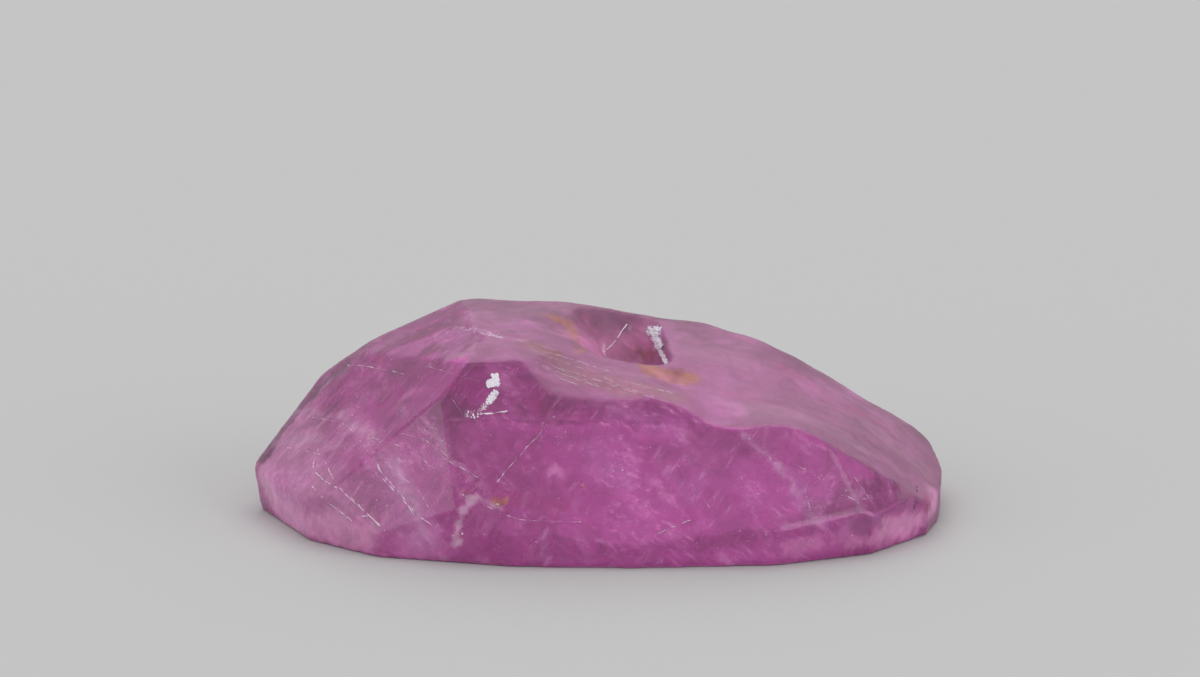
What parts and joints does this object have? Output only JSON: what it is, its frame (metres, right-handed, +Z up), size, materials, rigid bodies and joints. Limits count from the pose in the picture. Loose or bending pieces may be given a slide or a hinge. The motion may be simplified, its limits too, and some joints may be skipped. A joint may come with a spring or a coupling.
{
  "type": "raw ruby crystal",
  "caption": "Free-form rough ruby, pink and partly clear, with flat polished facets at the front and left, lumpy natural skin and an etched pit on top, flat base to rest on.",
  "frame": {"origin": "middle of the stone's outline, in the plane of its flat base", "axes": "+X along the stone towards its low right-hand end, +Y away from the polished front, +Z up from the base"},
  "size_m": [0.0482, 0.0296, 0.0143],
  "materials": {
    "ruby": "pink, clear to milky corundum: polished facets in front, satin natural skin on top and behind"
  },
  "bodies": {
    "root": {"ruby_crystal": "ruby"}
  },
  "joints": []
}
